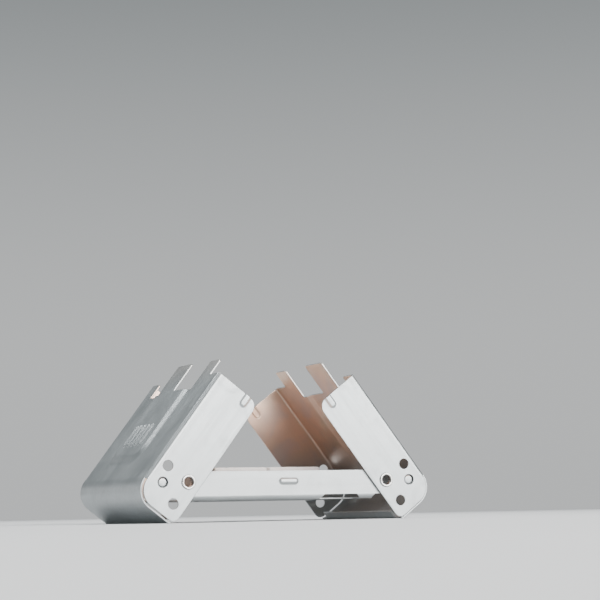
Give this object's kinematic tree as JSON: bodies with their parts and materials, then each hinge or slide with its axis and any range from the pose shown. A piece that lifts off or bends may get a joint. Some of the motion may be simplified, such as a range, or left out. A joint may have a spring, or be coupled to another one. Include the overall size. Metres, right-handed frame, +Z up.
{
  "type": "folding pocket stove",
  "caption": "Folding sheet-steel solid-fuel pocket stove, half open: a shallow tray with two pivoting channel wings that carry the pot on notched tabs, with fuel tablets on the tray.",
  "frame": {"origin": "middle of the footprint, on the surface that the wings' feet stand on", "axes": "+X along the tray towards the right wing, +Y across the tray towards the back, +Z up"},
  "size_m": [0.1236, 0.0782, 0.0647],
  "materials": {
    "zinc_steel": "satin zinc-coated sheet",
    "rivet_steel": "bright plated",
    "fuel": "pressed chalky powder"
  },
  "bodies": {
    "tray": {"base_tray": "zinc_steel", "rivet_front_left": "rivet_steel", "rivet_front_right": "rivet_steel", "rivet_back_left": "rivet_steel", "rivet_back_right": "rivet_steel", "fuel_tablet_left": "fuel", "fuel_tablet_right": "fuel"},
    "left_wing": {"left_wing": "zinc_steel"},
    "right_wing": {"right_wing": "zinc_steel"}
  },
  "joints": [
    {"name": "left_wing_fold", "type": "hinge", "parent": "tray", "child": "left_wing", "pos_m": [-0.04258, 0, 0.01556], "axis": [0, -1, 0], "range_deg": [-52.6, 37.4]},
    {"name": "right_wing_fold", "type": "hinge", "parent": "tray", "child": "right_wing", "pos_m": [0.04258, 0, 0.01556], "axis": [0, 1, 0], "range_deg": [-52.6, 37.4]}
  ]
}
